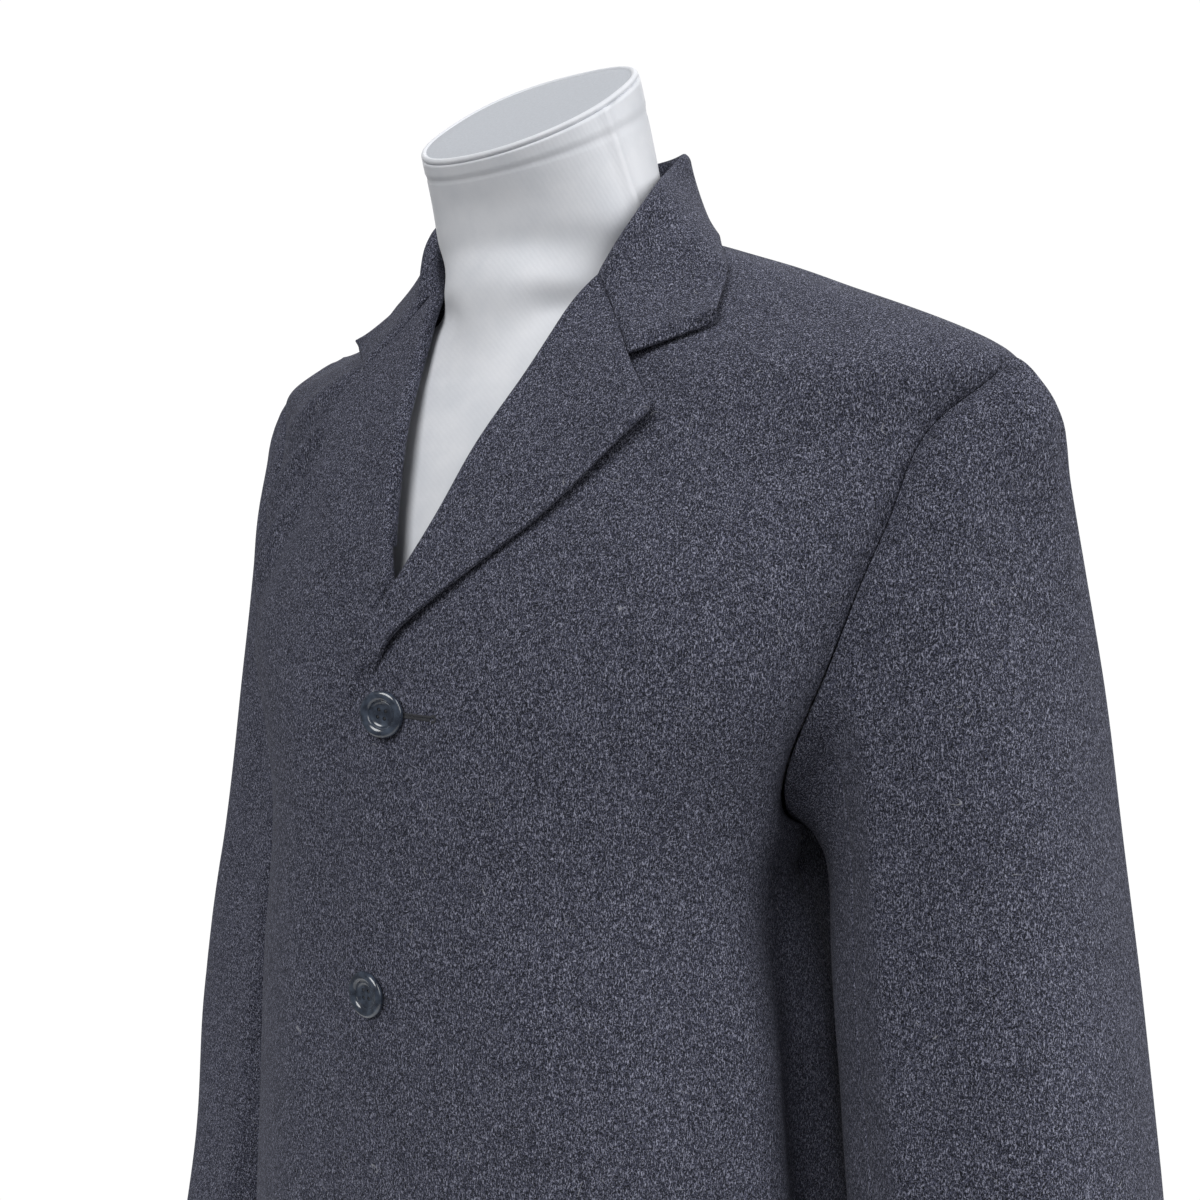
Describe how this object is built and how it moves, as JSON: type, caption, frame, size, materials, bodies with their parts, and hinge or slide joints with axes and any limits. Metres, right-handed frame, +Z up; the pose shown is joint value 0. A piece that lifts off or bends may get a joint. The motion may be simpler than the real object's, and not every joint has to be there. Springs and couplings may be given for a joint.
{
  "type": "overcoat on a dress form",
  "caption": "Single-breasted wool overcoat with notch lapels and set-in sleeves, worn by a limbless dress form on a stand.",
  "frame": {"origin": "middle of the flat underside of the stand's base", "axes": "+Z up, the coat faces -Y, its wearer's left is +X"},
  "size_m": [0.7078, 0.335, 1.6212],
  "materials": {
    "wool": "napped charcoal melange coating",
    "button": "polished navy black",
    "jersey": "smooth white jersey cover",
    "cap": "smooth grey cover",
    "stand": "satin"
  },
  "bodies": {
    "root": {"front_left": "wool", "front_right": "wool", "back_left": "wool", "back_right": "wool", "lapel_left": "wool", "lapel_right": "wool", "collar": "wool", "sleeve_left_top": "wool", "sleeve_left_under": "wool", "sleeve_right_top": "wool", "sleeve_right_under": "wool", "button_1": "button", "button_2": "button", "button_3": "button", "form_torso": "jersey", "form_neck_cap": "cap", "stand_pole": "stand", "stand_base": "stand"}
  },
  "joints": []
}
